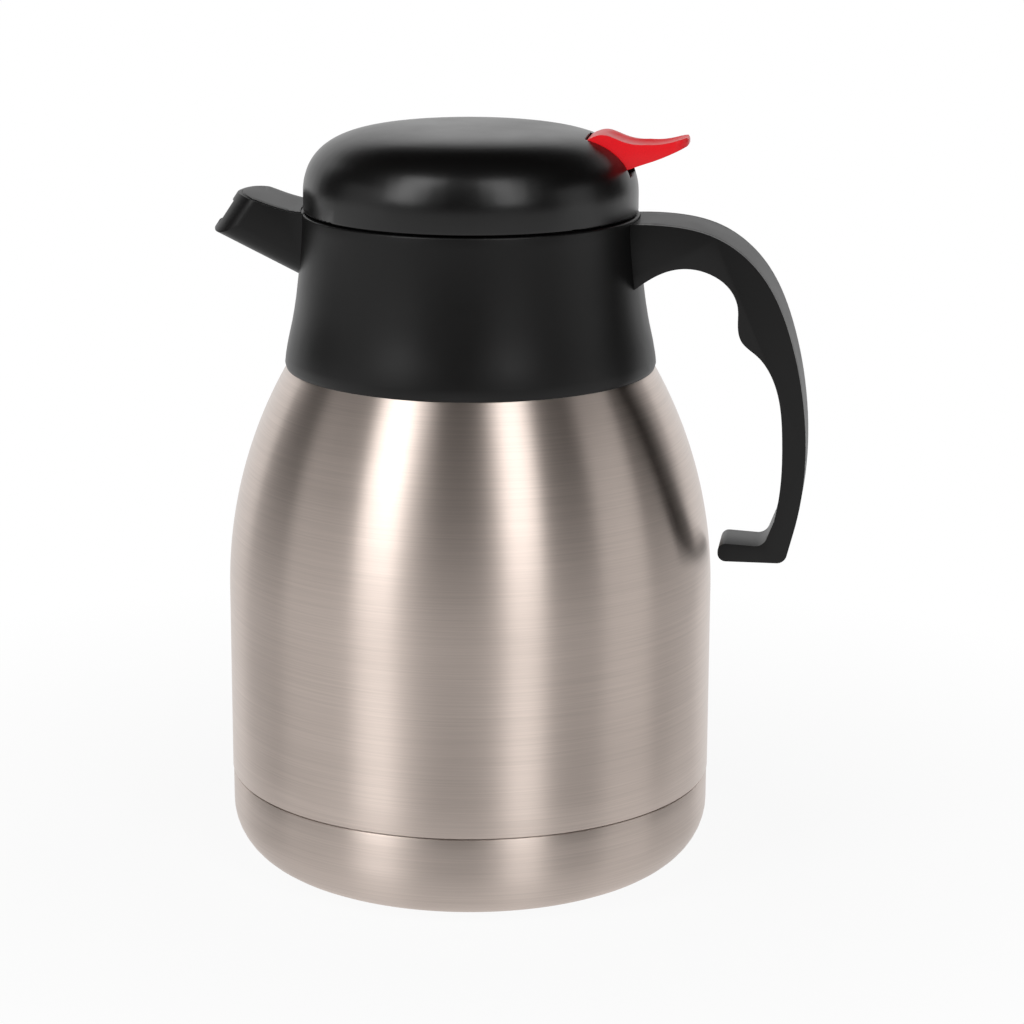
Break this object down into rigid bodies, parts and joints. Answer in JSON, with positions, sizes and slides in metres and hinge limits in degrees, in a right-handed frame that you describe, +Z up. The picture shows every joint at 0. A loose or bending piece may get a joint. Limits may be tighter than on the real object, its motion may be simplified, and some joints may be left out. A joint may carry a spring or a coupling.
{
  "type": "vacuum jug",
  "caption": "Double-walled steel serving jug with a black collar, spout and handle, and a screw-in lid whose thumb lever opens the pouring valve.",
  "frame": {"origin": "on the vessel's axis, in the plane of the base that stands on the table", "axes": "+Z up along the vessel's axis, +X towards the handle, the spout points along -X"},
  "size_m": [0.173, 0.142, 0.217],
  "materials": {
    "brushed_steel": "brushed round the circumference",
    "plain_steel": "mill",
    "seal_solder": "satin",
    "black_plastic": "fine satin grain",
    "white_plastic": "satin",
    "red_plastic": "semi-gloss",
    "silicone": "matte",
    "pad_rubber": "matte"
  },
  "bodies": {
    "jug": {"outer_shell": "brushed_steel", "base_cup": "brushed_steel", "base_pad": "pad_rubber", "shell_floor": "plain_steel", "vacuum_seal_bead": "seal_solder", "inner_bottle": "plain_steel", "getter": "plain_steel", "collar": "black_plastic", "neck_ring": "black_plastic", "spout_cover": "black_plastic", "collar_gasket": "silicone", "handle_grip": "black_plastic", "handle_spine_cover": "black_plastic", "handle_screws": "plain_steel"},
    "neck_seal": {"neck_seal": "silicone"},
    "lid": {"lid_dome": "black_plastic", "stopper_body": "black_plastic", "stopper_base": "black_plastic", "lever_pin": "plain_steel", "stem_seal": "silicone", "spring_seat": "plain_steel", "valve_spring": "plain_steel"},
    "lever": {"lever": "red_plastic"},
    "valve": {"valve_stem": "white_plastic", "valve_seal": "silicone", "seal_retainer": "white_plastic", "stem_clip": "plain_steel"}
  },
  "joints": [
    {"name": "lid_rise", "type": "slide", "parent": "jug", "child": "neck_seal", "axis": [0, 0, 1], "range_m": [0, 0.00525]},
    {"name": "lid_turn", "type": "hinge", "parent": "neck_seal", "child": "lid", "pos_m": [0, 0, 0.1672], "axis": [0, 0, 1], "range_deg": [0, 105]},
    {"name": "lever_press", "type": "hinge", "parent": "lid", "child": "lever", "pos_m": [0.038, 0, 0.2045], "axis": [0, 1, 0], "range_deg": [0, 10], "stiffness_Nm_per_rad": 0.4, "springref_deg": -8.59},
    {"name": "valve_lift", "type": "slide", "parent": "lid", "child": "valve", "axis": [0, 0, 1], "range_m": [0, 0.00663], "deforming": ["valve_spring"]}
  ],
  "couplings": [
    {"joint": "lid_turn", "follows": "lid_rise", "rad_per_m": 349.07},
    {"joint": "lever_press", "follows": "valve_lift", "rad_per_m": 26.316}
  ]
}
